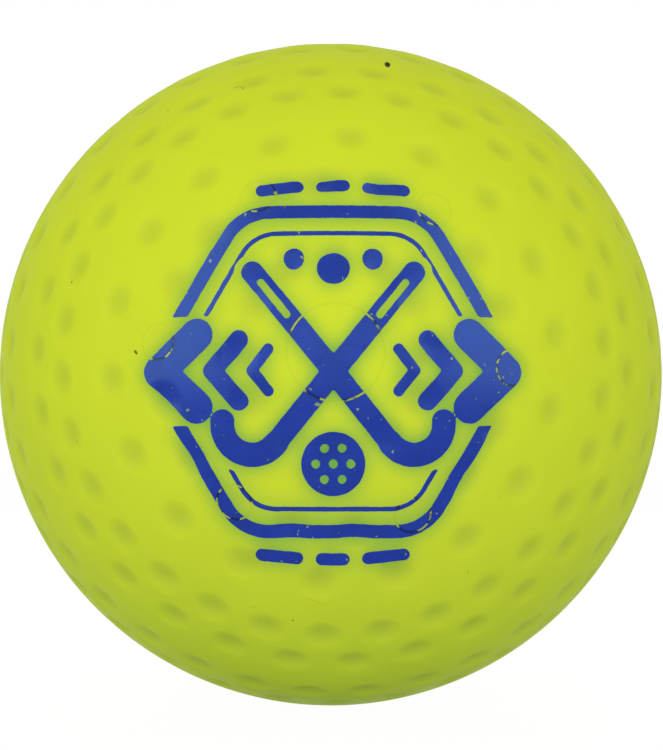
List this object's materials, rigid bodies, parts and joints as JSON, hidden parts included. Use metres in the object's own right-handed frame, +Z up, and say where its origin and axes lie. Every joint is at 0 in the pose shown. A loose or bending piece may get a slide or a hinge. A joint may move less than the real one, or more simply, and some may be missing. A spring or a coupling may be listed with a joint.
{
  "type": "field hockey ball",
  "caption": "Solid dimpled field hockey ball moulded in one piece, struck with a stick along the ground.",
  "frame": {"origin": "centre of the ball", "axes": "+Z up, Y along the mould's pole axis, with the printed pole towards -Y; the mould parts in the XZ plane"},
  "size_m": [0.073, 0.073, 0.073],
  "materials": {
    "ball": "satin moulded skin with shallow dimples",
    "print": "glossy pad-printed ink film, drawn in the visual model only"
  },
  "bodies": {
    "root": {"ball": "ball"}
  },
  "joints": []
}
